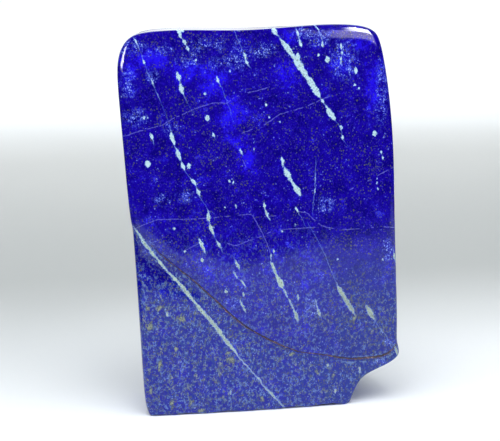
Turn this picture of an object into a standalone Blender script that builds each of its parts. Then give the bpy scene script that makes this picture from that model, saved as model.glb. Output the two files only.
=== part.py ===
"""Polished lapis lazuli slab standing on its cut base.

Metres, +Z up, front face towards -Y. The origin is the middle of the footprint of the stone's
bounding box, on the surface that the stone stands on.

A block is sawn into a coarse cage of rows and columns, the cage is pushed onto the stone's outline,
and a subdivision surface polishes it round.
"""

from collections import namedtuple

import bmesh
import bpy
from mathutils import Vector

OBJECT_NAME = "polished_lapis_lazuli"
STONE_NAME = "lapis_stone"

STONE_HEIGHT = 0.1795
BASE_THICKNESS = 0.0400  # front to back at the cut base
TOP_THICKNESS = 0.0350  # front to back just under the top edge
FACE_CROWN = 0.0012  # how far the middle of each broad face stands proud of its rim
LEFT_WALL_DRAFT = 0.0050  # the left wall leans in by this much from front to back
RIGHT_WALL_DRAFT = 0.0035
BASE_CHAMFER = 0.0012  # the ground-off edge round the cut base
BACK_FACET = 0.0050  # how much is ground off the back at its upper corner, behind the left shoulder
FACET_START = 0.25  # 0 would run that facet's lower edge from corner to corner, 1 would leave no facet

# Where the cage is cut, as shares of the width and of the thickness. The outermost cuts lie close to
# the rim, and so set how tightly the edges are rounded.
COLUMN_SHARES = (0.0, 0.06, 0.27, 0.5, 0.73, 0.94, 1.0)
DEPTH_SHARES = (0.0, 0.19, 0.81, 1.0)

# At each column: how far the top edge stands above the line between its two rounded corners, and how
# far the narrow top face drops from front to back. The edge dips left of the middle and rises again
# towards the right shoulder, where the top face slopes away.
TOP_LIFT = (0.0, 0.0032, 0.0029, 0.0014, 0.0043, 0.0039, 0.0)
TOP_FALL = (0.0010, 0.0008, 0.0006, 0.0006, 0.0030, 0.0045, 0.0045)
TOP_EDGE_SHARPNESS = 0.5  # the crease of the top's front edge, left of the right shoulder

# A crack crosses the lower front, with a ledge along it: the face above stands proud of the face below.
SEAM_SAG = 0.0265  # how far the seam hangs below the line between its two ends
SAG_SHARES = (0.0, 0.14, 0.57, 1.04, 0.76, 0.24, 0.0)  # the share of a row's sag at each column
LEDGE_SHARPNESS = 0.6  # the crease of the ledge, which fades out at the left wall

# The rows of the cage. left and right are where a row meets the outline (x, z), sag is how far it hangs
# below the line between them, and set_back is how far the front face lies behind its highest part
# there, at the left and at the right end.
Row = namedtuple("Row", "name left right sag set_back")
ROWS = (
    Row("base", (-0.0545, 0.0000), (0.0448, 0.0000), 0.0, (0.0004, 0.0006)),
    Row("heel", (-0.0556, 0.0055), (0.0454, 0.0055), 0.0, (0.0, 0.0004)),
    Row("shin", (-0.0565, 0.0300), (0.0490, 0.0145), 0.0100, (0.0008, 0.0008)),
    Row("notch", (-0.0578, 0.0580), (0.0624, 0.0190), 0.0190, (0.0017, 0.0012)),
    Row("ledge_foot", (-0.0592, 0.0888), (0.0692, 0.0232), SEAM_SAG, (0.0031, 0.0018)),
    Row("ledge_lip", (-0.0600, 0.0904), (0.0661, 0.0285), SEAM_SAG, (0.0019, 0.0006)),
    Row("lip_shoulder", (-0.0607, 0.0957), (0.0662, 0.0375), SEAM_SAG, (0.0002, 0.0001)),
    Row("brow", (-0.0614, 0.1020), (0.0657, 0.0500), 0.0240, (0.0, 0.0)),
    Row("middle", (-0.0632, 0.1290), (0.0635, 0.0900), 0.0060, (0.0, 0.0)),
    Row("upper", (-0.0648, 0.1500), (0.0622, 0.1330), 0.0, (0.0, 0.0)),
    Row("shoulder", (-0.0655, 0.1660), (0.0563, 0.1680), 0.0, (0.0, 0.0)),
    Row("top", (-0.0608, 0.1742), (0.0530, 0.1762), 0.0, (0.0, 0.0)),
)

SUBDIVISION_LEVELS = 2
RIM_TOLERANCE = 0.001  # a share of the block, to tell the edges on its rim
LAPIS_BLUE = (0.015, 0.008, 0.38, 1.0)


def clear_scene():
    for old in list(bpy.data.objects):
        bpy.data.objects.remove(old, do_unlink=True)


def blend(start, end, share):
    return start + (end - start) * share


def sawn_block():
    """A unit block whose surface is cut by planes into the cage's rows, columns and layers."""
    block = bmesh.new()
    bmesh.ops.create_cube(block, size=1.0)
    bmesh.ops.translate(block, verts=block.verts, vec=Vector((0.5, 0.5, 0.5)))
    row_shares = [index / (len(ROWS) - 1) for index in range(len(ROWS))]
    cuts = [(Vector((1, 0, 0)), share) for share in COLUMN_SHARES[1:-1]]
    cuts += [(Vector((0, 1, 0)), share) for share in DEPTH_SHARES[1:-1]]
    cuts += [(Vector((0, 0, 1)), share) for share in row_shares[1:-1]]
    for normal, share in cuts:
        everything = block.verts[:] + block.edges[:] + block.faces[:]
        bmesh.ops.bisect_plane(block, geom=everything, plane_co=normal * share, plane_no=normal)
    return block


def rim_fall(across):
    """How far a broad face falls back from its middle, at this share of the width."""
    return FACE_CROWN * (2.0 * across - 1.0) ** 2


def front_y(row, across):
    return -BASE_THICKNESS / 2 + blend(row.set_back[0], row.set_back[1], across) + rim_fall(across)


def back_y(across, height):
    """The back comes forward as the slab thins upwards, and further where its corner is ground off."""
    thickness = blend(BASE_THICKNESS, TOP_THICKNESS, height)
    ground = BACK_FACET * max(0.0, height - across - FACET_START) / (1.0 - FACET_START)
    return thickness - BASE_THICKNESS / 2 - rim_fall(across) - ground


def at_column(values, across):
    """The value of the column nearest to this share of the width."""
    gaps = [abs(share - across) for share in COLUMN_SHARES]
    return values[gaps.index(min(gaps))]


def place_on_stone(row, across, through):
    """Where a cage point lies. across runs from left to right and through from front to back, 0 to 1."""
    x = blend(row.left[0], row.right[0], across)
    x += through * blend(LEFT_WALL_DRAFT, -RIGHT_WALL_DRAFT, across)
    z = blend(row.left[1], row.right[1], across) - row.sag * at_column(SAG_SHARES, across)
    if row.name in ("shoulder", "top"):
        z += at_column(TOP_LIFT, across) - at_column(TOP_FALL, across) * through
    y = blend(front_y(row, across), back_y(across, z / STONE_HEIGHT), through)
    if row.name == "base":
        x += BASE_CHAMFER * (1.0 - 2.0 * across)
        y += BASE_CHAMFER * (1.0 - 2.0 * through)
    return Vector((x, y, z))


def edge_sharpness(edge, row_of):
    """The cut base has a sharp rim, and the ledge and the top edge are crisp on the front face."""
    first, second = edge.verts
    if row_of[first] is not row_of[second]:
        return 0.0
    row = row_of[first]
    middle = (first.co + second.co) / 2
    if row.name == "base":
        on_rim = min(middle.x, 1.0 - middle.x, middle.y, 1.0 - middle.y) < RIM_TOLERANCE
        return 1.0 if on_rim else 0.0
    on_front = middle.y < RIM_TOLERANCE
    if row.name == "top" and on_front and COLUMN_SHARES[1] < middle.x < COLUMN_SHARES[-3]:
        return TOP_EDGE_SHARPNESS
    if row.name in ("ledge_foot", "ledge_lip") and on_front:
        return LEDGE_SHARPNESS if middle.x > COLUMN_SHARES[1] else LEDGE_SHARPNESS / 2
    return 0.0


def stone_cage():
    cage = sawn_block()
    row_of = {vert: ROWS[round(vert.co.z * (len(ROWS) - 1))] for vert in cage.verts}
    crease = cage.edges.layers.float.new("crease_edge")
    for edge in cage.edges:
        edge[crease] = edge_sharpness(edge, row_of)
    for vert in cage.verts:
        vert.co = place_on_stone(row_of[vert], vert.co.x, vert.co.y)
    bmesh.ops.recalc_face_normals(cage, faces=cage.faces)
    mesh = bpy.data.meshes.new(STONE_NAME)
    cage.to_mesh(mesh)
    cage.free()
    return mesh


def centre_footprint(stone):
    """Moves the cage so that the polished stone's bounding box stands centred on the origin."""
    bpy.context.view_layer.update()
    polished = stone.evaluated_get(bpy.context.evaluated_depsgraph_get())
    shift = Vector((0.0, 0.0, 0.0))
    for axis in (0, 1):
        reach = [vert.co[axis] for vert in polished.data.vertices]
        shift[axis] = -(min(reach) + max(reach)) / 2
    for vert in stone.data.vertices:
        vert.co += shift


def lapis_material():
    material = bpy.data.materials.new("polished_lapis")
    material.use_nodes = True
    surface = material.node_tree.nodes["Principled BSDF"]
    surface.inputs["Base Color"].default_value = LAPIS_BLUE
    surface.inputs["Roughness"].default_value = 0.12
    surface.inputs["Metallic"].default_value = 0.0
    material.diffuse_color = LAPIS_BLUE
    return material


def build_stone(collection):
    stone = bpy.data.objects.new(STONE_NAME, stone_cage())
    collection.objects.link(stone)
    polish = stone.modifiers.new("polish", "SUBSURF")
    polish.levels = SUBDIVISION_LEVELS
    polish.render_levels = SUBDIVISION_LEVELS
    stone.data.shade_smooth()
    stone.data.materials.append(lapis_material())
    centre_footprint(stone)


def main():
    clear_scene()
    collection = bpy.data.collections.new(OBJECT_NAME)
    bpy.context.scene.collection.children.link(collection)
    build_stone(collection)


main()
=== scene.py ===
import math

import bmesh
import bpy
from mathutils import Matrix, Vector
from mathutils.bvhtree import BVHTree
from mathutils.kdtree import KDTree


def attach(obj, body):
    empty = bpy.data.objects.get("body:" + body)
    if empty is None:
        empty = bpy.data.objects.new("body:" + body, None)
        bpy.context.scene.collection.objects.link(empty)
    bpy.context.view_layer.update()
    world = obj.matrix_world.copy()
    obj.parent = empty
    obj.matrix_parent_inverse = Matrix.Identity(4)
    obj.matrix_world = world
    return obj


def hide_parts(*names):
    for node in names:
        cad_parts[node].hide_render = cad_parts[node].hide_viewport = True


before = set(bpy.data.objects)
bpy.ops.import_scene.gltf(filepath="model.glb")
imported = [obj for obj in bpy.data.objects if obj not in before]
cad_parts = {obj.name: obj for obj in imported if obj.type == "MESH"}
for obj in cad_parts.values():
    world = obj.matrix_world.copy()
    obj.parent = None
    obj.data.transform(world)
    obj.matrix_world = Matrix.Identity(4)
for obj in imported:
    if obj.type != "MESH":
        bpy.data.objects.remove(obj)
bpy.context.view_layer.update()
scene = bpy.context.scene
mm = 0.001


# Wires and nodes

class Wire:
    # a socket's value on its way through a node tree: arithmetic on it adds Math nodes
    def __init__(self, nodes, socket):
        self.nodes = nodes
        self.socket = socket

    def maths(self, operation, *values):
        return self.nodes.maths(operation, *values)

    def __add__(self, other):
        return self.maths("ADD", self, other)

    __radd__ = __add__

    def __sub__(self, other):
        return self.maths("SUBTRACT", self, other)

    def __rsub__(self, other):
        return self.maths("SUBTRACT", other, self)

    def __mul__(self, other):
        return self.maths("MULTIPLY", self, other)

    __rmul__ = __mul__

    def __truediv__(self, other):
        return self.maths("DIVIDE", self, other)

    def __rtruediv__(self, other):
        return self.maths("DIVIDE", other, self)

    def __neg__(self):
        return self.maths("MULTIPLY", self, -1.0)

    def size(self):
        return self.maths("ABSOLUTE", self)

    def atLeast(self, other):
        return self.maths("MAXIMUM", self, other)

    def atMost(self, other):
        return self.maths("MINIMUM", self, other)

    def step(self, low, high):
        # 0 at low, 1 at high and smooth between them; high may be the lower number
        settings = {"interpolation_type": "SMOOTHSTEP"}
        if low <= high:
            return self.nodes.make("ShaderNodeMapRange", settings, {0: self, 1: low, 2: high})
        return self.nodes.make("ShaderNodeMapRange", settings, {0: self, 1: high, 2: low, 3: 1.0, 4: 0.0})


class Nodes:
    # one shader or geometry tree: make() is how every node gets into it
    def __init__(self, tree):
        self.tree = tree

    def make(self, kind, settings={}, inputs={}, output=0):
        node = self.tree.nodes.new(kind)
        for name, value in settings.items():
            setattr(node, name, value)
        for key, value in inputs.items():
            if isinstance(value, Wire):
                self.tree.links.new(value.socket, node.inputs[key])
            else:
                node.inputs[key].default_value = value
        return Wire(self, node.outputs[output]) if node.outputs else node

    def other(self, wire, output):
        # another output of the node that a wire comes from
        return Wire(self, wire.socket.node.outputs[output])

    def maths(self, operation, *values):
        return self.make("ShaderNodeMath", {"operation": operation}, dict(enumerate(values)))

    def vector(self, operation, *values, output=0):
        return self.make("ShaderNodeVectorMath", {"operation": operation}, dict(enumerate(values)), output)

    def scaled(self, vector, factor):
        return self.make("ShaderNodeVectorMath", {"operation": "SCALE"}, {0: vector, 3: factor})

    def split(self, vector):
        first = self.make("ShaderNodeSeparateXYZ", {}, {0: vector})
        return first, self.other(first, 1), self.other(first, 2)

    def join(self, x, y, z):
        return self.make("ShaderNodeCombineXYZ", {}, {0: x, 1: y, 2: z})

    def blendColour(self, share, start, end):
        start = start if isinstance(start, Wire) else (*start, 1.0)
        end = end if isinstance(end, Wire) else (*end, 1.0)
        return self.make("ShaderNodeMix", {"data_type": "RGBA"}, {0: share, 6: start, 7: end}, output=2)

    def noise(self, place, detail=2.0, roughness=0.5, distortion=0.0):
        # fractal noise round 0.5, one unit of place to a lump
        inputs = {"Vector": place, "Scale": 1.0, "Detail": detail, "Roughness": roughness}
        inputs["Distortion"] = distortion
        return self.make("ShaderNodeTexNoise", {"noise_dimensions": "3D"}, inputs)

    def give(self, name, wire):
        # what a socket of a material's surface takes
        self.tree.links.new(wire.socket, self.tree.nodes["Principled BSDF"].inputs[name])

    def moved(self, geometry, offset):
        return self.make("GeometryNodeSetPosition", {}, {"Geometry": geometry, "Offset": offset})

    def stored(self, geometry, name, kind, value):
        settings = {"data_type": kind, "domain": "POINT"}
        inputs = {"Geometry": geometry, "Name": name, "Value": value}
        return self.make("GeometryNodeStoreNamedAttribute", settings, inputs)


def newMaterial(name, constants):
    material = bpy.data.materials.new(name)
    material.use_nodes = True
    for socket, value in constants.items():
        material.node_tree.nodes["Principled BSDF"].inputs[socket].default_value = value
    return material


def directionTo(azimuth, elevation):
    # from the stone towards something that stands there, in degrees; azimuth 0 is straight in front
    turn = math.radians(azimuth)
    lift = math.radians(elevation)
    return Vector((math.sin(turn) * math.cos(lift), -math.cos(turn) * math.cos(lift), math.sin(lift)))


# Camera

cameraView = {
    "azimuth": -10.0,
    "elevation": 12.0,
    "distance": 0.60,
    "target": Vector((-0.0049, -0.0050, 0.0885)),
    "lens": 93.0,
    "sensor": 36.0,
    "sees": (0.02, 50.0),  # nearest and farthest
    "pictureSize": (500, 441),
}


def makeCamera():
    data = bpy.data.cameras.new("camera")
    data.lens = cameraView["lens"]
    data.sensor_width = cameraView["sensor"]
    data.clip_start, data.clip_end = cameraView["sees"]
    back = directionTo(cameraView["azimuth"], cameraView["elevation"])
    camera = bpy.data.objects.new("camera", data)
    camera.location = cameraView["target"] + back * cameraView["distance"]
    camera.rotation_mode = "QUATERNION"
    camera.rotation_quaternion = (-back).to_track_quat("-Z", "Y")
    scene.collection.objects.link(camera)
    scene.camera = camera
    bpy.context.view_layer.update()
    return camera


def onFace(pixelX, pixelY, depth):
    # the point of the plane y = depth that the photograph shows at this pixel
    width, height = cameraView["pictureSize"]
    focal = cameraView["lens"] / cameraView["sensor"] * width
    ray = camera.rotation_quaternion @ Vector((pixelX - width / 2, height / 2 - pixelY, -focal))
    return camera.location + ray * (depth - camera.location.y) / ray.y


camera = makeCamera()
print("camera stands", [round(value, 3) for value in camera.location])


# Markings of the stone, in pixels of the photograph

pixelSize = 0.464 * mm  # one pixel on the front face
faceDepth = -0.0188  # where the front face lies
frontFace = (-12 * mm, -15 * mm)  # what belongs to the front alone fades in between these depths

# The crack that runs along the ledge: x, y and how wide it gapes
crackPath = [
    (134, 229, 0.5), (147, 240, 0.7), (160, 254, 1.0), (170, 262, 1.4), (180, 270, 1.7), (194, 281, 1.9),
    (203, 289, 2.1), (217, 301.5, 2.2), (230, 314, 2.3), (243, 325, 2.3), (260, 335, 2.3), (272, 341, 2.2),
    (285, 347, 1.9), (300, 352, 1.7), (325, 355, 1.9), (340, 357.5, 2.2), (352, 359, 2.6), (365, 358, 2.9),
    (375, 357, 3.1), (383, 355.5, 2.9), (388, 353, 2.5), (392, 350, 2.1), (396, 345, 1.5),
]

# Calcite veins: x, y and width. They run down to the right, thin between their lumps, and a width of 0
# ends one.
veins = [
    # the long one under the crack
    [(126, 219, 0.8), (134, 227, 1.3), (136, 230, 2.5), (141, 237, 3.4), (144, 243, 3.8), (149, 249, 3.4),
     (153, 254, 4.2), (157, 258.5, 2.5), (160, 262, 3.8), (163, 266, 2.9), (166, 270, 2.5), (171, 275, 2.9),
     (175, 279, 3.8), (180, 284, 3.4), (184, 289, 4.2), (188, 294, 4.2), (192, 299, 3.8), (196, 304, 2.9),
     (199, 307.5, 4.6), (204, 313, 4.2), (208, 317.5, 3.8), (212, 322, 4.6), (216, 327, 4.2), (219, 331, 5),
     (222, 335.5, 3.8), (226, 341, 4.6), (230, 345.5, 4.2), (234, 350, 2.9), (238, 356, 2.1),
     (246, 365, 2.1), (251, 370.5, 2.1), (256, 376, 2.1), (258, 378, 3.1), (260, 380, 2.1), (263, 386, 2.1),
     (268, 390, 2.8), (272, 394, 3.2), (277, 400, 2.1), (283, 406, 2.1), (292, 416, 2.1)],
    # the widest, from the top edge
    [(270, 24, 2), (275, 32, 5), (277.5, 35, 2), (279, 37, 1.2), (283, 42.5, 3.5), (286.5, 47, 5.5),
     (289.5, 51, 5), (292, 55, 4), (295, 58.5, 4.5), (297.5, 62, 6.5), (300, 66, 6.5), (302.5, 70, 5),
     (305, 74, 5.5), (307, 77.5, 3.5), (309.5, 80, 5.5), (311.5, 83, 6), (314, 87.5, 5), (316, 91, 6),
     (318.5, 95, 4.5), (320.5, 98.5, 1), (322.5, 101, 3.5), (324.5, 104, 1.2), (327, 107.5, 3),
     (329, 111, 5), (331.5, 115, 5.5), (334, 118.5, 4), (336, 121.5, 0.8), (339, 125, 1), (341, 127, 3.5),
     (341.5, 131, 0.8), (342, 134.5, 1), (342.3, 137, 3.5), (343.5, 141, 0.8), (349, 147, 0.7),
     (352, 152, 0)],
    # left of the middle, from the top edge
    [(176, 25, 1.5), (178, 29, 3), (179, 32, 4), (180.5, 36.5, 3), (182, 39, 1.2), (184.5, 42, 4.2),
     (186, 45.5, 1.5), (187.5, 48.5, 3.5), (189, 52.5, 0.8), (191, 60, 0.6), (193, 66, 0)],
    [(176, 70, 0), (177.5, 74, 3), (178.7, 77, 4.5), (180, 82, 1.4), (180.6, 85.5, 3.2), (181.5, 89, 5),
     (183, 93, 3), (184, 95, 1.2), (188, 104, 0.8), (192, 111, 0.8), (196, 118, 0)],
    # the long string of lumps, from the upper left corner to the middle
    [(133, 37, 0.8), (135.5, 41, 2.8), (137.5, 45, 1.6), (140, 51, 0.8), (142.5, 58, 1), (143.8, 62, 3),
     (145.5, 66, 0.8), (148, 75, 1.4), (150, 78.5, 0.8), (152, 81, 2.2), (155, 89, 0.8), (158, 96, 1.4),
     (160, 100, 0.8), (166, 115, 0.8), (169, 123, 0.8), (170.5, 130, 1.2), (172, 137, 4.5),
     (173.5, 141, 3.5), (175, 147, 1), (177, 150.5, 3), (178.5, 154.5, 5), (179.5, 157.5, 3.5),
     (181, 161.5, 1.2), (183, 166.5, 4.5), (185, 171, 1), (189, 177, 0.8), (194.5, 182, 4), (196.5, 187, 1),
     (198.4, 192.4, 4), (200, 197, 1.2), (203, 202, 0.8), (207, 207, 0.8), (208.3, 212, 2.2),
     (208.2, 218, 4.6), (209, 223, 1.2), (211, 228, 4), (212.5, 232, 3), (215, 238, 0.7), (217, 241.5, 2),
     (218.9, 244, 3.8), (220.5, 247.5, 1.5), (223, 254, 0.7), (226, 262, 0)],
    [(231, 252, 0), (234, 259, 1), (236.5, 263, 3), (238, 266, 3.2), (239.5, 269.5, 1.5), (240.5, 274, 0)],
    [(232, 269, 0), (234, 273, 2.4), (236.3, 277, 2.2), (239, 279.5, 0.8), (241.5, 281, 2.8),
     (243.2, 283, 3.2), (245, 286, 1.8), (247, 290, 0)],
    [(239, 298, 0), (240.3, 301.5, 2.6), (242.5, 306, 3), (244.5, 310, 2.6), (246.5, 314, 0)],
    [(198.5, 237, 0), (199.5, 240, 2.8), (201.5, 244.5, 4), (203.5, 249, 3.2), (205, 253, 1.5),
     (206, 255.5, 0)],
    [(150, 132, 0), (151.2, 136, 4.2), (152.5, 139.5, 1.8), (154, 143, 1), (155, 150, 0)],
    [(212, 130, 0), (213, 134, 3), (215, 139, 0.8), (217, 145, 0)],
    [(239.5, 147, 0), (240.6, 151, 3.4), (242.2, 155, 1), (244, 158, 0)],
    [(216.5, 74, 0), (217, 77.5, 2.6), (217.9, 80, 3.4), (219, 83.5, 1.6), (222, 88, 0.9), (226, 99, 0.9),
     (230, 110, 0.9), (233, 122, 0.7), (235, 130, 0)],
    [(233, 27, 1), (235, 33, 1), (239, 42, 1), (243, 51, 1.2), (244.2, 54, 3), (245, 56.5, 3.4),
     (246, 59.5, 1.6), (246.6, 62, 3.6), (248.5, 65.5, 1.6), (251, 68, 0.8), (253, 76, 0)],
    [(393.5, 343, 0), (394.8, 347, 2.6), (396.5, 351, 3.2), (397.5, 355, 2.4), (396.5, 359, 0)],
    # the upper right corner
    [(296.3, 28, 1), (297.5, 33, 2.6), (299, 38, 1.6), (300, 41, 2.8), (300.8, 45, 3), (301.5, 49, 0)],
    [(313, 22, 1.5), (314.5, 25, 2), (318, 29, 2.2), (320, 34, 1), (322, 40, 1.5), (322.6, 45, 3),
     (323, 49, 0)],
    [(326.3, 55, 0), (327, 57.5, 4), (327.8, 60.5, 5), (328.5, 64, 0)],
    [(340.5, 42, 0), (341, 45, 3.4), (341.6, 48, 3), (341.8, 50.3, 0.8), (342, 53, 2.8), (341.8, 55.5, 0.8),
     (341, 58.5, 2.8), (341, 62, 2.6), (341.6, 66, 0.8), (342, 68, 0)],
    # the middle
    [(281.5, 156, 0), (282.2, 159.5, 4), (283, 162.5, 3.6), (283.8, 165, 0.6), (284.5, 167.5, 1.5),
     (286, 171, 5), (288, 174.5, 6), (289.5, 177.5, 4), (291.5, 181, 3), (293.5, 184.5, 3),
     (296, 188.5, 5.5), (298.5, 192, 5.8), (300, 194.5, 3), (301, 197, 0.7), (302, 201, 0)],
    [(293.8, 203, 0), (295, 206.5, 3.2), (296.4, 209.5, 3.4), (298, 212.5, 1.2), (300.5, 216, 0.9),
     (303, 220, 0.9), (306, 228, 0.8), (309, 233, 0)],
    [(263.8, 201, 0), (264.3, 204, 3.2), (265, 207.5, 2.8), (265.6, 210, 0.8), (266.4, 212.5, 3.6),
     (267.4, 216, 3), (269, 217.5, 1), (270, 219, 2.6), (271.3, 221.5, 0)],
    [(316.5, 150, 0), (316, 160, 0.9), (315.4, 170, 1), (315.2, 178, 1.8), (315.1, 185, 1),
     (315, 190.8, 2.4), (314.3, 195, 1), (313, 205, 1), (312.5, 215, 0.8), (312.8, 222, 0)],
    [(381, 149.3, 0), (381.2, 151.7, 3), (381.8, 155, 0.8), (382.7, 158, 3), (383.4, 160.5, 0)],
    [(393, 246, 0), (393.5, 251, 1.6), (394.2, 256.3, 3.2), (395.5, 260, 2), (398, 266, 1)],
    # above the crack
    [(272.5, 247.5, 0), (273.7, 251.4, 3.2), (274.5, 254.5, 0)],
    [(270.5, 252.5, 0), (271, 255.5, 2.8), (271, 259, 1.6), (270.5, 261.5, 1.5), (272, 264.5, 3.6),
     (274, 269, 3.8), (275.5, 273.5, 3), (277.5, 277.5, 4), (280, 282, 5.5), (281.8, 286, 5),
     (282.8, 288, 1.6), (284.5, 290.5, 2.4), (287, 296, 2.4), (288.2, 298, 1), (289.5, 300, 2.4),
     (291, 303.5, 2.2), (292, 306, 2), (293.5, 310, 2.4), (295, 312.5, 3.6), (296.5, 316.5, 4.2),
     (297.5, 320, 2.6), (297.8, 323, 1), (298, 326, 0)],
    [(314.5, 296, 0), (315.5, 300, 2), (316.6, 305, 2), (318, 309.5, 2.6), (319.2, 313.5, 3.6),
     (320.5, 316.5, 1.4), (322, 321, 1), (324, 328, 0)],
    [(305, 217, 0), (309, 225, 1), (313, 232, 1), (319, 243, 1), (325, 255, 1.1), (330, 268, 1.1),
     (335, 280, 1), (337.5, 285.5, 1.8), (339.5, 289, 4.5), (342, 293.5, 5), (344.5, 298, 4), (347, 302, 5),
     (349.5, 306, 4.6), (352, 309.5, 4.6), (354, 313, 2.5), (355.5, 316.5, 1), (357, 319, 0)],
    [(365, 303, 0), (367, 307, 3.5), (369, 310.5, 5), (371.5, 315, 5), (373.3, 318, 3), (375.5, 321.5, 1),
     (379, 327, 1.2), (382, 331, 1.6), (385, 334, 1.2), (389, 341, 1.2), (391, 346, 1.4), (393, 351, 0)],
]

# Single spots of calcite: x, y, width and height
spots = [
    (298, 57, 3.6, 9), (188.8, 166, 3.6, 5), (202, 260, 3, 4), (225.6, 291.2, 3, 3),
    (147.8, 164.2, 4.4, 6.5), (144, 118, 2.4, 3), (207.3, 118, 3.8, 5.5), (254.6, 141.4, 2.3, 2.3),
    (254.3, 149.3, 2.3, 2.3), (354.8, 85, 2.4, 2.4), (359, 88, 2.1, 2.1), (266, 105, 2.2, 2.6),
    (269, 117, 2.5, 2.5), (280, 121.5, 2.2, 2.2), (356, 70.5, 3, 7), (374.8, 133.4, 3.8, 5),
    (295.5, 225.3, 1.9, 3), (281.5, 231.5, 2.2, 2.2), (376.5, 178, 2.2, 2.8), (376.8, 183, 2.2, 2.4),
    (378, 188.8, 2, 2.4), (337.7, 258.8, 2.4, 3), (383, 259.5, 2, 2.4), (243.5, 294, 2, 5),
    (297.8, 297, 2.2, 7), (174, 228.5, 2.3, 2.6), (184.5, 251.5, 2.2, 2.2), (229.5, 181, 2.8, 2.6),
    (233.5, 182.5, 2.5, 2.4), (228, 188, 2.1, 2.6), (224, 196, 2, 2.4), (225, 206, 2.4, 5),
    (236, 206, 1.8, 4), (167.5, 314, 2.1, 5), (230.7, 392.4, 2.1, 5), (335.2, 391.2, 2.3, 4.5),
    (328, 365, 2.6, 2.6), (359.7, 370, 2.2, 7), (147.5, 118, 1.4, 2), (230, 71, 2, 2), (196, 60, 2, 2),
    (318.5, 55, 2.2, 2.2), (205, 93.5, 2, 2.6),
]

# Healed hairline cracks, paler than the stone: x, y. Those that cross are in different sets.
hairlines = {
    "hairOne": [
        [(114, 139), (122, 137), (140, 131), (163, 125), (172, 119), (190, 111), (200, 107), (213, 103),
         (227, 103), (235, 97), (250, 92), (260, 90), (272, 86)],
        [(130, 230), (138, 227), (148, 223), (158, 219.5), (197, 219), (220, 217), (250, 214), (262, 217),
         (275, 216), (283, 212.5), (290, 210), (300, 211.5), (308, 213), (313, 219), (320, 225),
         (327, 227.5), (338, 229.5), (350, 229.5), (380, 226.5), (400, 227.5)],
        [(242, 158), (247, 170), (252, 182)],
    ],
    "hairTwo": [
        [(224, 140), (245, 132), (264, 125), (280, 114), (305, 107), (320, 100), (330, 96)],
        [(227, 243), (235, 246), (248, 241), (262, 236), (275, 230), (290, 229), (305, 228), (318, 227)],
        [(184, 251), (192, 247), (199, 243)],
    ],
    "hairThree": [
        [(250, 211), (262, 232), (267, 243), (270, 252)],
        [(400, 164), (384, 172), (370, 180), (357, 185.5), (345, 193), (335, 200), (325, 207), (318, 213)],
    ],
}


markingShape = {
    "fullWidth": 5.0,  # lumps of this width keep it, and thinner ones become thinner, in pixels
    "thinning": 1.3,
    "between": (0.0, 0.25, 0.5, 0.75),  # where points are added between those of a line
    "spotLean": 0.12,  # spots lean as the veins do, by this share of their height
    "spotTaller": 0.8,
    "spotWider": 0.7,
    "spotOutline": [(-1.0, 0.0), (-0.7, 0.85), (0.0, 1.1), (0.7, 0.85), (1.0, 0.0)],
    "hairWidth": 1.15,
    "apart": 16,  # veins that come closer to one another than this are in different sets
}


def onStone(pixelX, pixelY, lookup):
    # the point of the stone that the photograph shows at this pixel, brought to the plane of the face
    ray = (onFace(pixelX, pixelY, faceDepth) - camera.location).normalized()
    point = lookup.ray_cast(camera.location, ray)[0]
    if point is None:
        point = onFace(pixelX, pixelY, faceDepth)
    return point.x, faceDepth, point.z


def rounded(line):
    # points between those of a line, so that its lumps are round and its necks thin
    fuller = []
    for (x0, y0, w0), (x1, y1, w1) in zip(line, line[1:]):
        for share in markingShape["between"]:
            eased = share * share * (3 - 2 * share)
            fuller.append((x0 + (x1 - x0) * share, y0 + (y1 - y0) * share, w0 + (w1 - w0) * eased))
    fuller.append(line[-1])
    full = markingShape["fullWidth"]
    return [(x, y, full * (width / full) ** markingShape["thinning"]) for x, y, width in fuller]


def markingCurve(name, lines, lookup):
    # one spline for each line of points (x, y, width in pixels), its radius half the marking's width
    data = bpy.data.curves.new(name, "CURVE")
    data.dimensions = "3D"
    for line in lines:
        spline = data.splines.new("POLY")
        line = rounded(line)
        spline.points.add(len(line) - 1)
        for point, (pixelX, pixelY, width) in zip(spline.points, line):
            point.co = (*onStone(pixelX, pixelY, lookup), 1.0)
            point.radius = width / 2 * pixelSize
    curve = bpy.data.objects.new(name, data)
    scene.collection.objects.link(curve)
    return curve


def spotLines():
    # a spot is a short line, widest in its middle
    lines = []
    for x, y, width, height in spots:
        half = (height + markingShape["spotTaller"]) / 2
        full = width + markingShape["spotWider"]
        lean = markingShape["spotLean"]
        outline = markingShape["spotOutline"]
        lines.append([(x + lean * half * along, y + half * along, full * wide) for along, wide in outline])
    return lines


def hairlinePoints(lines):
    return [[(x, y, markingShape["hairWidth"]) for x, y in line] for line in lines]


def apartFrom(line, others):
    # whether a line stays clear of the others
    return all(math.hypot(x - otherX, y - otherY) > markingShape["apart"]
               for other in others for otherX, otherY, otherWidth in other for x, y, width in line)


def sortVeins():
    # veins and spots that come close to one another are traced apart, so that they don't run together
    sets = {"veinOne": [], "veinTwo": [], "veinThree": []}
    for line in veins + spotLines():
        roomy = [name for name, lines in sets.items() if apartFrom(line, lines)]
        sets[roomy[0] if roomy else "veinThree"].append(line)
    return sets


veinSets = sortVeins()
print("veins are in sets of", [len(lines) for lines in veinSets.values()])


# Finish of the stone

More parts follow.
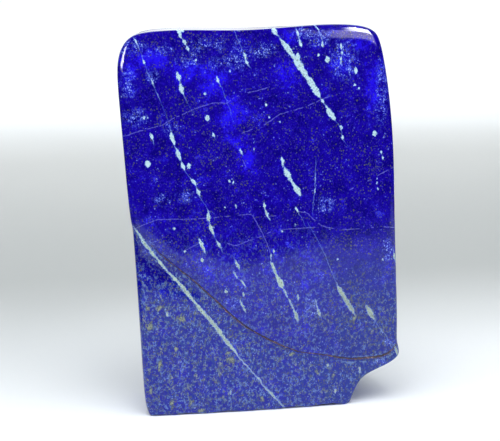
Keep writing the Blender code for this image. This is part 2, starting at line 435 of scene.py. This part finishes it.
lapis = {
    "navy": (0.0030, 0.0005, 0.165),
    "blue": (0.0075, 0.0010, 0.325),
    "ultramarine": (0.0150, 0.0040, 0.820),
    "violetGrain": (0.048, 0.024, 0.36),
    "softLace": (0.016, 0.018, 0.72),
    "lace": (0.16, 0.24, 0.86),
    "laceLight": (0.36, 0.50, 0.88),
    "dullBlue": (0.0030, 0.0028, 0.290),
    "greyBlue": (0.014, 0.040, 0.215),
    "paleFleck": (0.130, 0.220, 0.500),
    "greyGreen": (0.105, 0.150, 0.220),
    "olive": (0.085, 0.100, 0.085),
    "paleOlive": (0.260, 0.300, 0.225),
    "speckDull": (0.090, 0.088, 0.095),
    "pyrite": (0.26, 0.25, 0.15),
    "calcite": (0.52, 0.74, 0.84),
    "calciteCream": (0.46, 0.60, 0.52),
    "veinEdge": (0.09, 0.18, 0.78),
    "hairline": (0.17, 0.17, 0.66),
    "rust": (0.130, 0.055, 0.036),
    "rustDark": (0.022, 0.011, 0.012),
    "rustLight": (0.40, 0.34, 0.32),
}

lapisPolish = {
    "ior": 1.47,
    "mirrorTint": (0.80, 0.95, 1.0, 1.0),
    "roughness": 0.055,  # where the polish is best
    "bumpStrength": 0.12,
    "bumpDepth": 0.05 * mm,
}

# The noises that the rock is mixed from: size of the lumps in millimetres, detail, roughness, place in the
# noise, distortion
grains = {
    "ragged": (4.0, 3.0, 0.6, 31.0, 0.0),
    "bends": (1.5, 3.0, 0.65, 45.0, 0.0),
    "edges": (0.7, 3.0, 0.7, 47.0, 0.0),
    "clouds": (9.0, 4.0, 0.62, 0.0, 0.3),
    "blots": (2.6, 3.0, 0.65, 5.0, 0.0),
    "fine": ((0.75, 0.75, 0.95), 3.0, 0.8, 9.0, 0.0),
    "web": ((1.9, 1.9, 2.3), 4.0, 0.6, 3.0, 0.0),
    "strokes": ((1.7, 1.7, 2.4), 3.0, 0.6, 13.0, 0.0),
    "gate": ((1.5, 1.5, 2.0), 2.0, 0.5, 15.0, 0.0),
    "mixed": ((2.2, 2.2, 2.8), 3.0, 0.6, 19.0, 0.0),
    "olive": ((1.1, 1.1, 1.6), 4.0, 0.72, 17.0, 0.0),
    "cream": (3.0, 3.0, 0.6, 25.0, 0.0),
    "rusty": ((1.8, 1.8, 1.2), 3.0, 0.65, 35.0, 0.0),
}

# Round specks: how many to a millimetre, their place in the pattern, and how much of a cell the largest fill
paleSpecks = (1.10, 3.0, 0.44)
oliveSpecks = (1.15, 7.0, 0.42)

# The markings: how far their course wiggles and how much their edges fray, in millimetres
hairMarking = (0.9, 0.6)
veinMarking = (1.4, 2.1)
crackMarking = (1.4, 1.6)

# Pale crumbs along the crack, partly painted highlight where its lips catch the light: how far above it, and
# between which places sideways they thicken, in millimetres
crackCrumbsAndGleams = [(1.1, 18.0, 36.0), (-1.9, 26.0, 42.0), (-0.9, -18.0, -30.0)]

# Where the colour changes over the face: x, y, and how far the patch reaches across and down, in pixels
patches = {
    "bright": [
        (150, 60, 32, 14), (182, 72, 26, 14), (214, 80, 28, 24), (232, 112, 16, 30), (130, 74, 9, 24),
        (362, 44, 18, 10), (374, 84, 13, 34), (338, 66, 16, 16), (250, 160, 13, 26), (290, 36, 18, 8),
        (236, 142, 20, 12), (286, 74, 20, 16),
    ],
    "lace": [
        (132, 47, 16, 7), (160, 50, 14, 6), (188, 60, 14, 8), (222, 64, 14, 9), (240, 56, 10, 14),
        (302, 33, 14, 7), (318, 38, 16, 9), (382, 92, 7, 36), (128, 84, 8, 16), (135, 118, 12, 10),
        (161, 200, 9, 6), (186, 196, 10, 8), (344, 60, 14, 22), (152, 76, 8, 6), (324, 204, 11, 9),
        (171, 128, 8, 8), (262, 50, 16, 8), (206, 46, 22, 7), (378, 363, 14, 3), (388, 342, 8, 4),
        (388, 250, 6, 12), (150, 250, 8, 12), (310, 306, 8, 12), (232, 302, 10, 6),
    ],
    "olive": [
        (210, 40, 44, 9), (150, 41, 16, 7), (188, 102, 16, 14), (164, 118, 14, 12), (130, 152, 12, 16),
        (236, 186, 16, 14), (290, 60, 18, 16), (252, 128, 20, 18), (206, 224, 16, 12), (341, 240, 20, 14),
        (372, 160, 16, 22), (350, 306, 30, 26), (380, 330, 20, 20), (397, 335, 3, 22), (300, 322, 30, 14),
        (220, 150, 30, 20), (158, 244, 13, 7), (176, 258, 13, 7), (192, 270, 12, 8),
    ],
    "oliveBlots": [
        (181.7, 320, 5, 5), (149, 328, 4, 6), (160, 309, 4, 3), (148, 309, 3, 3), (176, 350, 4, 4),
        (231.7, 360, 4, 4), (227.5, 352, 3, 3), (191.6, 402.7, 2.4, 4.5), (202, 411.5, 4, 2.4),
        (151, 392, 3, 4), (172.7, 404, 3, 6), (355, 318, 4, 4), (318, 372, 3, 5), (292, 356, 4, 3),
        (262, 398, 3, 5), (334, 377, 3, 3), (160, 366, 3, 6),
    ],
    "quiet": [(146, 258, 12, 22), (162, 272, 18, 14)],  # darker, with hardly any flecks
}


class Rock(Nodes):
    # the shader tree of the stone, with the patterns that its layers share; one unit is a millimetre
    def __init__(self, tree):
        super().__init__(tree)
        self.place = self.scaled(self.make("ShaderNodeTexCoord", output=3), 1 / mm)
        self.sideways, self.inwards, self.height = self.split(self.place)
        around = self.vector("SUBTRACT", self.other(self.grain("ragged"), 1), (0.5, 0.5, 0.5))
        ragged = self.scaled(around, 5.0)
        self.wandering = self.vector("ADD", self.place, ragged)
        self.roughPlace = self.vector("ADD", self.place, self.scaled(ragged, 0.5))
        self.bends = self.grain("bends") - 0.5
        self.edges = self.grain("edges") - 0.5
        self.clouds = self.grain("clouds")
        self.blots = self.grain("blots")
        self.fine = self.grain("fine")
        self.gate = self.grain("gate")
        self.mixed = self.grain("mixed")

        # deep: how far the rock has turned into the duller rock, under the crack and towards it
        self.above = self.attribute("aboveCrack", 2)
        under = self.above.step(0.4 * mm, -0.8 * mm)
        towardsRight = self.height.step(84.0, 50.0) * self.sideways.step(8.0, 48.0)
        self.lowering = self.height.step(74.0, 40.0) * 0.30 + towardsRight * 0.50
        self.deep = under.atLeast(self.lowering)
        self.lower = self.height.step(98.0, 68.0) * self.sideways.step(38.0, 18.0)  # a little livelier here
        self.quiet = self.patchwork("quiet")
        self.stirred = self.deep * (1.0 - self.quiet)
        self.oliveParts = self.patchwork("olive")

    def grain(self, name):
        size, detail, roughness, shift, distortion = grains[name]
        sizes = size if isinstance(size, tuple) else (size, size, size)
        spot = self.vector("MULTIPLY", self.place, tuple(1 / value for value in sizes))
        return self.noise(self.vector("ADD", spot, (shift, shift, shift)), detail, roughness, distortion)

    def attribute(self, name, output):
        return self.make("ShaderNodeAttribute", {"attribute_name": name}, output=output)

    def paint(self, share, under, over):
        # a colour that covers another by this share; either may be the name of a colour of the stone
        under, over = (lapis[one] if isinstance(one, str) else one for one in (under, over))
        return self.blendColour(share, under, over)

    def patchwork(self, name, hard=0.35):
        # 1 in the middle of any of the patches, fading out at its reach, with a wandering outline
        whole = None
        for pixelX, pixelY, across, down in patches[name]:
            middle = onFace(pixelX, pixelY, faceDepth) / mm
            stretch = (mm / pixelSize / across, 0.0, mm / pixelSize / down)
            away = self.vector("MULTIPLY", self.vector("SUBTRACT", self.wandering, tuple(middle)), stretch)
            one = self.vector("LENGTH", away, output=1).step(1.25, hard)
            whole = one if whole is None else whole.atLeast(one)
        return whole

    def threads(self, name, width):
        # thin wandering lines, where noise crosses its middle
        return (self.grain(name) - 0.5).size().step(width, width * 0.1)

    def specks(self, kind, chance):
        # 1 inside round specks, and a random value for each speck
        perMm, shift, largest = kind
        spot = {"Vector": self.vector("ADD", self.roughPlace, (shift, shift, shift)), "Scale": perMm}
        cells = self.make("ShaderNodeTexVoronoi", {"feature": "F1"}, spot)
        share, size, tint = self.split(self.other(cells, 1))
        inside = (size * (largest * 0.6) + largest * 0.4 - cells).step(-0.04, 0.08)
        return (share + chance).step(0.98, 1.02) * inside, tint

    def marking(self, name, kind):
        # 1 inside a marking's width, with frayed edges; how deep inside it, and its half width
        wiggle, frayed = kind
        offset, reach, away = self.split(self.scaled(self.attribute(name, 1), 1 / mm))
        depth = reach + self.edges * frayed * reach.atMost(0.7) - (offset + self.bends * wiggle).size()
        inside = depth.step(-0.12, 0.12) * (away - reach).step(1.1, 0.9) * reach.step(0.06, 0.13)
        return inside, depth, reach


def layBlues(rock):
    # blue in clouds, from navy to ultramarine, and duller under the crack
    bright = rock.patchwork("bright", 0.1)
    tone = rock.clouds * 0.36 + rock.blots * 0.26 + rock.fine * 0.38 + bright * 0.125 + rock.lower * 0.035
    colour = rock.paint(tone.step(0.40, 0.53), "navy", "blue")
    colour = rock.paint(tone.step(0.53, 0.66), colour, "ultramarine")
    colour = rock.paint(rock.fine.step(0.55, 0.70) * 0.6, colour, "violetGrain")
    murk = rock.blots * 0.55 + rock.fine * 0.45
    dull = rock.paint(murk.step(0.47, 0.60), "dullBlue", "greyBlue")
    dull = rock.paint(rock.sideways.step(-10.0, 50.0) * 0.35, dull, "greyBlue")
    colour = rock.paint(rock.stirred * (0.90 - rock.clouds.step(0.48, 0.66) * 0.40), colour, dull)
    return rock.paint(rock.quiet * 0.8, colour, "navy")


def addLace(rock, colour):
    # lace of paler blue, with pale specks
    lacy = rock.patchwork("lace") * rock.blots.step(0.36, 0.56)
    colour = rock.paint(lacy * 0.22, colour, "softLace")
    lacy = lacy + rock.clouds.step(0.52, 0.7) * rock.blots.step(0.48, 0.6) * 0.3
    web = rock.threads("web", 0.045) * rock.fine.step(0.40, 0.55)
    colour = rock.paint(web * lacy.atMost(1.0), colour, "lace")
    chance = lacy * 0.85 + (rock.blots - 0.5) * 0.8 + rock.lower * 0.08 + rock.deep * 0.06
    pale, tint = rock.specks(paleSpecks, chance)
    pale = pale * (lacy * 0.45 + 0.5).atMost(1.0) * (1.0 - rock.quiet)
    return rock.paint(pale, colour, rock.paint(tint, "lace", "laceLight"))


def addFlecks(rock, colour):
    # flecks of grey-blue, grey-green and cream under the crack
    fleckColour = rock.paint(rock.mixed.step(0.45, 0.55), "paleFleck", "greyGreen")
    fleckColour = rock.paint(rock.mixed.step(0.58, 0.66), fleckColour, "paleOlive")
    broken = (rock.gate + rock.lower * 0.02).step(0.48, 0.56)
    flecks = rock.threads("strokes", 0.075) * broken * (rock.stirred + rock.lower * 0.4).atMost(1.0)
    return rock.paint(flecks * 0.85, colour, fleckColour)


def addOlive(rock, colour):
    # olive rock, creamy in its blots; and where it is
    grain = rock.grain("olive")
    blot = rock.patchwork("oliveBlots", 0.3)
    olive = (grain + rock.oliveParts * 0.05 + rock.stirred * 0.07 + blot * 0.20).step(0.63, 0.71)
    colour = rock.paint(olive * 0.80, colour, "olive")
    creamy = (grain * 0.7 + rock.fine * 0.3 + blot * 0.16).step(0.60, 0.70) * blot
    return rock.paint(creamy, colour, "paleOlive"), olive


def addPyrite(rock, colour):
    # olive specks, some of them bright pyrite; and how metallic they are
    chance = rock.oliveParts * 0.40 + rock.deep * 0.10 + rock.lower * 0.08
    chance = chance + (rock.clouds - 0.5) * 0.8 + (rock.mixed - 0.5) * 1.2 + 0.36
    speck, tint = rock.specks(oliveSpecks, chance)
    speckColour = rock.paint(tint.step(0.45, 0.9), "speckDull", "pyrite")
    return rock.paint(speck * 0.85, colour, speckColour), speck * tint * 0.7


def addHealedCracks(rock, colour):
    # thin pale lines, fainter here and there
    for name in hairlines:
        hair = rock.marking(name, hairMarking)[0]
        colour = rock.paint(hair * (0.30 + 0.38 * rock.fine.step(0.40, 0.54)), colour, "hairline")
    return colour


def addVeins(rock, colour):
    # veins and spots of calcite, cream in the lower rock; and where they are
    calcite = None
    for name in veinSets:
        vein, depth, reach = rock.marking(name, veinMarking)
        vein = vein * (reach.step(0.10, 0.55) * 0.6 + 0.4)
        deepest = depth if calcite is None else deepest.atLeast(depth)
        calcite = vein if calcite is None else calcite.atLeast(vein)
    cream = (rock.grain("cream") * 0.6 + rock.height.step(130.0, 50.0) * 0.36).step(0.34, 0.56)
    body = rock.paint(cream, "calcite", "calciteCream")
    body = rock.paint(rock.lowering.atMost(0.6), body, "paleOlive")
    body = rock.paint((rock.fine + cream * 0.05).step(0.50, 0.64) * 0.6, body, "greyGreen")
    body = rock.paint((deepest + rock.edges * 0.4).step(0.0, 0.30), "veinEdge", body)
    return rock.paint(calcite, colour, body), calcite


def addCrack(rock, colour):
    # pale crumbs along the sides of the crack, partly painted highlight on its lips, and rust in it; and
    # where it gapes
    front = rock.inwards.step(*(depth / mm for depth in frontFace))
    for beside, thin, thick in crackCrumbsAndGleams:
        crumbsAndGleams = (rock.above / mm - beside + rock.bends * 2.5).size().step(0.40, 0.10)
        crumbsAndGleams = crumbsAndGleams * rock.gate.step(0.42, 0.54) * rock.sideways.step(thin, thick) * front
        # pale crumbs, partly a painted highlight along the crack's lips
        colour = rock.paint(crumbsAndGleams * 0.7, colour, "paleFleck")
    gape, depth = rock.marking("crack", crackMarking)[:2]
    rusty = rock.grain("rusty")
    stain = rock.paint(rusty.step(0.44, 0.60), "rustDark", "rust")
    stain = rock.paint(rusty.step(0.60, 0.68), stain, "rustLight")
    stain = rock.paint(depth.step(0.30, 0.55), stain, "rustDark")
    return rock.paint(gape * 0.95, colour, stain), gape


def surfaceRoughness(rock, calcite, gape, olive):
    # duller at the lower right and where the face rolls over the left part of the crack
    dulled = rock.sideways.step(10.0, 50.0) * rock.height.step(110.0, 80.0)
    rolled = rock.above.step(10 * mm, 4 * mm) * rock.above.step(-2 * mm, 0.0)
    rolled = rolled * rock.sideways.step(-28.0, -40.0)
    roughness = lapisPolish["roughness"] + rock.clouds * 0.02 + dulled * 0.055 + rolled * 0.11
    return roughness + calcite * 0.08 + gape * 0.40 + olive * 0.05


def lapisMaterial():
    material = newMaterial("polished_lapis", {
        "IOR": lapisPolish["ior"],
        "Specular Tint": lapisPolish["mirrorTint"],
    })
    rock = Rock(material.node_tree)
    colour = addFlecks(rock, addLace(rock, layBlues(rock)))
    colour, olive = addOlive(rock, colour)
    colour, metallic = addPyrite(rock, colour)
    colour, calcite = addVeins(rock, addHealedCracks(rock, colour))
    colour, gape = addCrack(rock, colour)
    relief = rock.blots * 0.4 - calcite * 0.35 - gape * 1.5
    bump = {"Strength": lapisPolish["bumpStrength"], "Distance": lapisPolish["bumpDepth"], "Height": relief}
    rock.give("Base Color", colour)
    rock.give("Roughness", surfaceRoughness(rock, calcite, gape, olive))
    rock.give("Metallic", metallic)
    rock.give("Normal", rock.make("ShaderNodeBump", {}, bump))
    print("finish has", len(rock.tree.nodes), "nodes")
    return material


# Body of the stone

stoneShape = {
    "mergeGap": 0.001 * mm,
    "pairAngles": (1.2, 3.15),  # how bent and how skew a quad made of two triangles may be
    "smoothLevels": 2,
    "polishSteps": 6,  # how often the surface is smoothed, which takes out the facets of the solid
    "polishFactor": 0.5,
    "flatBase": 2 * mm,  # up to here the cut base keeps its shape
    "veinCuts": 3,  # the mesh is this much finer along the veins, so that their lumps come out crisp
    "veinMargin": 0.7 * mm,
    "waviness": 0.03 * mm,  # how far the hand-ground faces wander
    "wavinessSize": 28 * mm,
    "crackDepth": 0.40 * mm,
    "crackHalfWidth": 0.50 * mm,
    "crackTaper": 0.5 * mm,  # the groove grows shallow where the crack gapes less than twice this
    "crackNear": (4 * mm, 2 * mm),  # the groove fades out between these distances from the crack's line
    "traceStep": 0.3 * mm,  # how finely the markings' lines are sampled
    "sheetStart": 5 * mm,  # a vein's sheet runs straight into the stone for this far, then leans
    "sheetLean": (0.35, 0.0, -0.25),  # how far the sheet shifts for each millimetre into the stone
    # how the front face swells: x, y and reach in pixels across and down, and height
    "swellings": [(236, 304, 50, 36, 0.60 * mm)],
    "lipHeight": 0.80 * mm,  # the lip of the crack swells on the left, where the face rolls over it
    "lipStart": 0.3 * mm,
    "lipAbove": 3.2 * mm,
    "lipReach": 3.0 * mm,
    "lipRises": (-60 * mm, -40 * mm),  # between these places sideways it climbs from the crack to lipAbove
    "lipGrows": (-30 * mm, -48 * mm),  # and between these it swells
}

# The sizes that are inputs of the tree that polishes the stone
polishSizes = ["waviness", "wavinessSize", "crackDepth", "crackHalfWidth", "crackTaper"]
polishSizes += ["lipHeight", "lipAbove", "lipReach"]


def evaluatedMesh(thing):
    bpy.context.view_layer.update()
    return bpy.data.meshes.new_from_object(thing.evaluated_get(bpy.context.evaluated_depsgraph_get()))


def finishedMesh(name, shape):
    mesh = bpy.data.meshes.new(name)
    shape.to_mesh(mesh)
    shape.free()
    return mesh


def makeObject(name, mesh):
    thing = bpy.data.objects.new(name, mesh)
    scene.collection.objects.link(thing)
    return thing


def smoothBody(node):
    # the solid's own surface, its triangles paired into quads, rounded and smoothed above the cut base
    shell = bmesh.new()
    shell.from_mesh(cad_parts[node].data)
    bmesh.ops.remove_doubles(shell, verts=shell.verts, dist=stoneShape["mergeGap"])
    bend, skew = stoneShape["pairAngles"]
    bmesh.ops.join_triangles(shell, faces=shell.faces, angle_face_threshold=bend, angle_shape_threshold=skew)
    body = makeObject("body", finishedMesh("body", shell))
    free = body.vertex_groups.new(name="free")
    above = [vert.index for vert in body.data.vertices if vert.co.z > stoneShape["flatBase"]]
    free.add(above, 1.0, "REPLACE")
    rounding = body.modifiers.new("rounding", "SUBSURF")
    rounding.levels = stoneShape["smoothLevels"]
    rounding.render_levels = stoneShape["smoothLevels"]
    smoothing = body.modifiers.new("smoothing", "SMOOTH")
    smoothing.iterations = stoneShape["polishSteps"]
    smoothing.factor = stoneShape["polishFactor"]
    smoothing.vertex_group = "free"
    smooth = evaluatedMesh(body)
    bpy.data.objects.remove(body, do_unlink=True)
    return smooth


def veinTracks(lines):
    # points along the lines, a pixel apart, each with the width there
    tracks = []
    for line in lines:
        for (x0, y0, w0), (x1, y1, w1) in zip(line, line[1:]):
            steps = max(1, round(math.hypot(x1 - x0, y1 - y0)))
            for step in range(steps):
                share = step / steps
                point = onFace(x0 + (x1 - x0) * share, y0 + (y1 - y0) * share, faceDepth)
                tracks.append((point, w0 + (w1 - w0) * share))
    return tracks


def refineAlongVeins(mesh, lines):
    tracks = veinTracks(lines)
    lookup = KDTree(len(tracks))
    for index, (point, width) in enumerate(tracks):
        lookup.insert(point, index)
    lookup.balance()
    shell = bmesh.new()
    shell.from_mesh(mesh)
    edges = set()
    for face in shell.faces:
        if face.normal.y > -0.3:  # only what faces the front
            continue
        middle = face.calc_center_median()
        middle.y = faceDepth
        point, index, away = lookup.find(middle)
        if away < tracks[index][1] / 2 * pixelSize + stoneShape["veinMargin"]:
            edges.update(face.edges)
    bmesh.ops.subdivide_edges(shell, edges=list(edges), cuts=stoneShape["veinCuts"], use_grid_fill=True)
    return finishedMesh("refined", shell)


def geometryTree(name, kinds):
    # a tree with these inputs and the stone as its output: its nodes, and its inputs by name
    tree = bpy.data.node_groups.new(name, "GeometryNodeTree")
    for socket, kind in kinds.items():
        tree.interface.new_socket(socket, in_out="INPUT", socket_type="NodeSocket" + kind)
    tree.interface.new_socket("stone", in_out="OUTPUT", socket_type="NodeSocketGeometry")
    nodes = Nodes(tree)
    first = nodes.make("NodeGroupInput")
    return nodes, {socket: nodes.other(first, index) for index, socket in enumerate(kinds)}


def traceGroup():
    # stores how each point of the stone lies to the nearest marking: offset to its side, half width, distance
    kinds = {"stone": "Geometry", "marking": "Object", "name": "String", "lean": "Vector"}
    nodes, given = geometryTree("traceMarking", kinds)
    info = {"transform_space": "ORIGINAL"}
    curve = nodes.make("GeometryNodeObjectInfo", info, {0: given["marking"]}, output=4)
    step = stoneShape["traceStep"]
    points = nodes.make("GeometryNodeCurveToPoints", {"mode": "LENGTH"}, {"Curve": curve, "Length": step})
    tangent = nodes.other(points, 1)
    radius = nodes.make("GeometryNodeInputRadius")
    where = nodes.make("GeometryNodeInputPosition")
    depth = (nodes.split(where)[1] - (faceDepth + stoneShape["sheetStart"])).atLeast(0.0)
    onSheet = nodes.vector("MULTIPLY", where, (1.0, 0.0, 1.0))
    onSheet = nodes.vector("ADD", onSheet, (0.0, faceDepth, 0.0))
    onSheet = nodes.vector("ADD", onSheet, nodes.scaled(given["lean"], depth))
    nearest = nodes.make("GeometryNodeSampleNearest", {"domain": "POINT"}, {0: points, 1: onSheet})

    def sample(kind, value):
        settings = {"data_type": kind, "domain": "POINT"}
        return nodes.make("GeometryNodeSampleIndex", settings, {0: points, 1: value, 2: nearest})

    away = nodes.vector("SUBTRACT", onSheet, sample("FLOAT_VECTOR", where))
    along = sample("FLOAT_VECTOR", tangent)
    sideways = nodes.vector("CROSS_PRODUCT", along, (0.0, 1.0, 0.0))
    offset = nodes.vector("DOT_PRODUCT", away, sideways, output=1)
    beyond = (nodes.vector("DOT_PRODUCT", away, along, output=1).size() - step).atLeast(0.0)
    reach = sample("FLOAT", radius) - beyond
    distance = nodes.vector("LENGTH", away, output=1)
    lie = nodes.join(offset, reach, distance)
    nodes.make("NodeGroupOutput", {}, {0: nodes.stored(given["stone"], given["name"], "FLOAT_VECTOR", lie)})
    return nodes.tree


def faceSwelling(nodes, given, where, offset):
    # how far the front face swells, over its middle and above the left part of the crack
    sideways = nodes.split(where)[0]
    centre = sideways.step(*stoneShape["lipRises"]) * given["lipAbove"]
    above = (offset - stoneShape["lipStart"] - centre) / given["lipReach"]
    lip = nodes.maths("EXPONENT", above * above * -0.5) * given["lipHeight"]
    swelling = lip * sideways.step(*stoneShape["lipGrows"])
    for pixelX, pixelY, across, down, height in stoneShape["swellings"]:
        middle = tuple(onFace(pixelX, pixelY, faceDepth))
        stretch = (1 / (across * pixelSize), 0.0, 1 / (down * pixelSize))
        away = nodes.vector("MULTIPLY", nodes.vector("SUBTRACT", where, middle), stretch)
        squared = nodes.vector("DOT_PRODUCT", away, away, output=1)
        swelling = swelling + nodes.maths("EXPONENT", squared * -0.5) * height
    return swelling


def stoneTree(traces):
    # polishes the body, opens the crack and traces the markings on it
    kinds = {"stone": "Geometry", **dict.fromkeys(polishSizes, "Float"), "sheetLean": "Vector"}
    kinds.update({"finish": "Material", **dict.fromkeys(traces, "Object")})
    nodes, given = geometryTree("polishStone", kinds)
    where = nodes.make("GeometryNodeInputPosition")
    normal = nodes.make("GeometryNodeInputNormal")
    free = nodes.split(where)[2].step(0.0, stoneShape["flatBase"])
    wander = nodes.noise(nodes.scaled(where, 1.0 / given["wavinessSize"]), 1.0, 0.4) - 0.5
    wave = nodes.scaled(normal, wander * given["waviness"] * 2.0 * free)
    marked = nodes.moved(given["stone"], wave)
    trace = traceGroup()
    for name in traces:
        group = {"name": name, "marking": given[name], "stone": marked}
        group["lean"] = (0.0, 0.0, 0.0) if name == "crack" else given["sheetLean"]
        marked = nodes.make("GeometryNodeGroup", {"node_tree": trace}, group)

    # the swellings and the groove of the crack, on the front alone
    crack = nodes.make("GeometryNodeInputNamedAttribute", {"data_type": "FLOAT_VECTOR"}, {"Name": "crack"})
    offset, reach, distance = nodes.split(crack)
    front = nodes.split(where)[1].step(*frontFace)
    outwards = nodes.join(0.0, faceSwelling(nodes, given, where, offset) * front * -1.0, 0.0)
    swollen = nodes.moved(marked, outwards)
    profile = (offset.size() / given["crackHalfWidth"]).step(1.0, 0.0)
    profile = profile * (reach / given["crackTaper"]).step(0.0, 1.0)
    near = distance.step(*stoneShape["crackNear"])
    sunk = nodes.scaled(normal, -1.0 * given["crackDepth"] * profile * front * near)
    opened = nodes.stored(nodes.moved(swollen, sunk), "aboveCrack", "FLOAT", offset)
    smooth = nodes.make("GeometryNodeSetShadeSmooth", {}, {"Geometry": opened})
    whole = nodes.make("GeometryNodeRealizeInstances", {}, {0: smooth})
    finished = nodes.make("GeometryNodeSetMaterial", {}, {"Geometry": whole, "Material": given["finish"]})
    nodes.make("NodeGroupOutput", {}, {0: finished})
    return nodes.tree


def polishStone():
    mesh = smoothBody("lapis_stone")
    corners = [vert.co for vert in mesh.vertices]
    lookup = BVHTree.FromPolygons(corners, [face.vertices for face in mesh.polygons])
    body = makeObject("body", refineAlongVeins(mesh, veins + spotLines()))
    healed = {name: hairlinePoints(lines) for name, lines in hairlines.items()}
    markings = {"crack": [crackPath], **healed, **veinSets}
    curves = {name: markingCurve(name + "_line", lines, lookup) for name, lines in markings.items()}
    tree = stoneTree(list(curves))
    polish = body.modifiers.new("polish", "NODES")
    polish.node_group = tree
    values = {name: stoneShape[name] for name in (*polishSizes, "sheetLean")}
    values.update({"finish": lapisMaterial(), **curves})
    for socket in tree.interface.items_tree:
        if socket.in_out == "INPUT" and socket.name in values:
            polish[socket.identifier] = values[socket.name]
    stone = makeObject("polished_lapis_slab", evaluatedMesh(body))
    for guide in (body, *curves.values()):
        bpy.data.objects.remove(guide, do_unlink=True)
    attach(stone, "root")
    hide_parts("lapis_stone")
    return stone


stone = polishStone()
stone.data.calc_loop_triangles()
print("stone has", len(stone.data.loop_triangles), "triangles")


# Table and light

studio = {
    "tableFront": -0.36,  # the polish mirrors the table up to here, and dark room beyond it
    "tableLeft": -0.20,
    "tableRight": 0.55,
    "tableBack": 0.50,
    "floorReach": 6.0,
    "floorWhite": (0.86, 0.90, 0.93),
    # the floor's painted shade: grey, and paler grey farther back
    "floorPaintedShade": (0.43, 0.455, 0.46),
    "floorPaintedHalfShade": (0.555, 0.580, 0.585),
    # painted shade on the floor behind the stone: from where to where along its depth it turns grey, paler
    # again and white again
    "paintedShadeStarts": (-0.02, 0.25),
    "paintedShadePales": (0.25, 0.80),
    "paintedShadeEnds": (1.15, 0.68),
    "cloudSize": 0.3,  # these places wander by a noise of this size and up to half of this height
    "cloudHeight": 0.08,
    "floorRoughness": 0.85,
    "floorShine": 0.1,
    "ambient": (0.265, 0.280, 0.275),
    "backdrop": (0.80, 0.82, 0.84),
    "darkRoom": (0.010, 0.012, 0.020),
    # what shines in the polish: from and to, sideways and upwards in degrees, softness, colour
    "gleams": [
        ((16, 35), (1.6, 24), 0.8, (6.2, 5.0, 5.0)),
        ((18.6, 34.0), (19, 64), 1.2, (40.0, 34.0, 34.0)),
        ((-48, -28), (-4, 20), 2.0, (30.0, 26.0, 26.0)),
    ],
    "backGlow": (1.5, 1.55, 1.6),
    "backGlowTurns": (115, 140),  # it comes up between these azimuths, either way round
    "backGlowLifts": (0, 45),
    "backGlowSoftness": 3,
    # soft lamps: azimuth, elevation, strength and softness
    "lamps": {"key_left": (-35, 64, 2.1, 45), "key_right": (42, 55, 1.4, 45)},
}


def floorMaterial():
    material = newMaterial("pale_floor", {
        "Roughness": studio["floorRoughness"],
        "Specular IOR Level": studio["floorShine"],
    })
    nodes = Nodes(material.node_tree)
    place = nodes.make("ShaderNodeTexCoord", output=3)
    wander = nodes.noise(nodes.scaled(place, 1 / studio["cloudSize"])) - 0.5
    depth = nodes.split(place)[1] + wander * studio["cloudHeight"]
    # painted shade: grey behind the stone, paler farther back and white again far off
    paintedShade = nodes.blendColour(depth.step(*studio["paintedShadePales"]), studio["floorPaintedShade"], studio["floorPaintedHalfShade"])
    shadedBehind = depth.step(*studio["paintedShadeStarts"]) * depth.step(*studio["paintedShadeEnds"])
    nodes.give("Base Color", nodes.blendColour(shadedBehind, studio["floorWhite"], paintedShade))
    return material


def floorPiece(name, outlines, material):
    # one flat piece for each outline of (x, y) corners
    sheet = bmesh.new()
    for outline in outlines:
        sheet.faces.new([sheet.verts.new((x, y, 0.0)) for x, y in outline])
    bmesh.ops.remove_doubles(sheet, verts=sheet.verts, dist=0.01 * mm)
    piece = makeObject(name, finishedMesh(name, sheet))
    piece.data.materials.append(material)
    return piece


def makeFloor():
    # the table that the polish mirrors, and round it floor that the polish doesn't
    pale = floorMaterial()
    names = ("tableLeft", "tableRight", "tableFront", "tableBack", "floorReach")
    left, right, front, back, far = (studio[name] for name in names)
    table = [(left, front), (right, front), (right, back), (left, back)]
    rim = [(-far, -far), (far, -far), (far, far), (-far, far)]
    floorPiece("table", [table], pale)
    around = []
    for index in range(4):
        after = (index + 1) % 4
        around.append([rim[index], rim[after], table[after], table[index]])
    outer = floorPiece("floor", around, pale)
    outer.visible_glossy = False


def makeLamp(name, azimuth, elevation, strength, softness):
    data = bpy.data.lights.new(name, "SUN")
    data.energy = strength
    data.angle = math.radians(softness)
    lamp = bpy.data.objects.new(name, data)
    lamp.rotation_mode = "QUATERNION"
    lamp.rotation_quaternion = (-directionTo(azimuth, elevation)).to_track_quat("-Z", "Y")
    lamp.visible_glossy = False
    scene.collection.objects.link(lamp)


def makeWorld():
    # pale to the camera, dim as fill light, and to the polish a dark room with a few lights in it
    world = bpy.data.worlds.new("studio")
    world.use_nodes = True
    nodes = Nodes(world.node_tree)
    path = nodes.make("ShaderNodeLightPath")
    x, y, z = nodes.split(nodes.make("ShaderNodeTexCoord"))
    degrees = 180 / math.pi
    azimuth = nodes.maths("ARCTAN2", x, -y) * degrees
    elevation = nodes.maths("ARCSINE", z) * degrees
    sideways = nodes.maths("ARCSINE", x) * degrees
    upwards = nodes.maths("ARCTAN2", z, -y) * degrees

    def within(value, low, high, soft):
        return value.step(low - soft, low + soft) * value.step(high + soft, high - soft)

    lifted = within(elevation, *studio["backGlowLifts"], studio["backGlowSoftness"])
    glow = azimuth.size().step(*studio["backGlowTurns"]) * lifted
    room = nodes.blendColour(glow, studio["darkRoom"], studio["backGlow"])
    for (left, right), (low, high), soft, colour in studio["gleams"]:
        share = within(sideways, left, right, soft) * within(upwards, low, high, soft)
        room = nodes.blendColour(share, room, colour)
    colour = nodes.blendColour(path, studio["ambient"], studio["backdrop"])
    colour = nodes.blendColour(nodes.other(path, 3), colour, room)
    world.node_tree.links.new(colour.socket, world.node_tree.nodes["Background"].inputs["Color"])
    scene.world = world


def makeStudio():
    makeFloor()
    makeWorld()
    for name, settings in studio["lamps"].items():
        makeLamp(name, *settings)
    scene.view_settings.view_transform = "Standard"


makeStudio()
print("studio is lit")
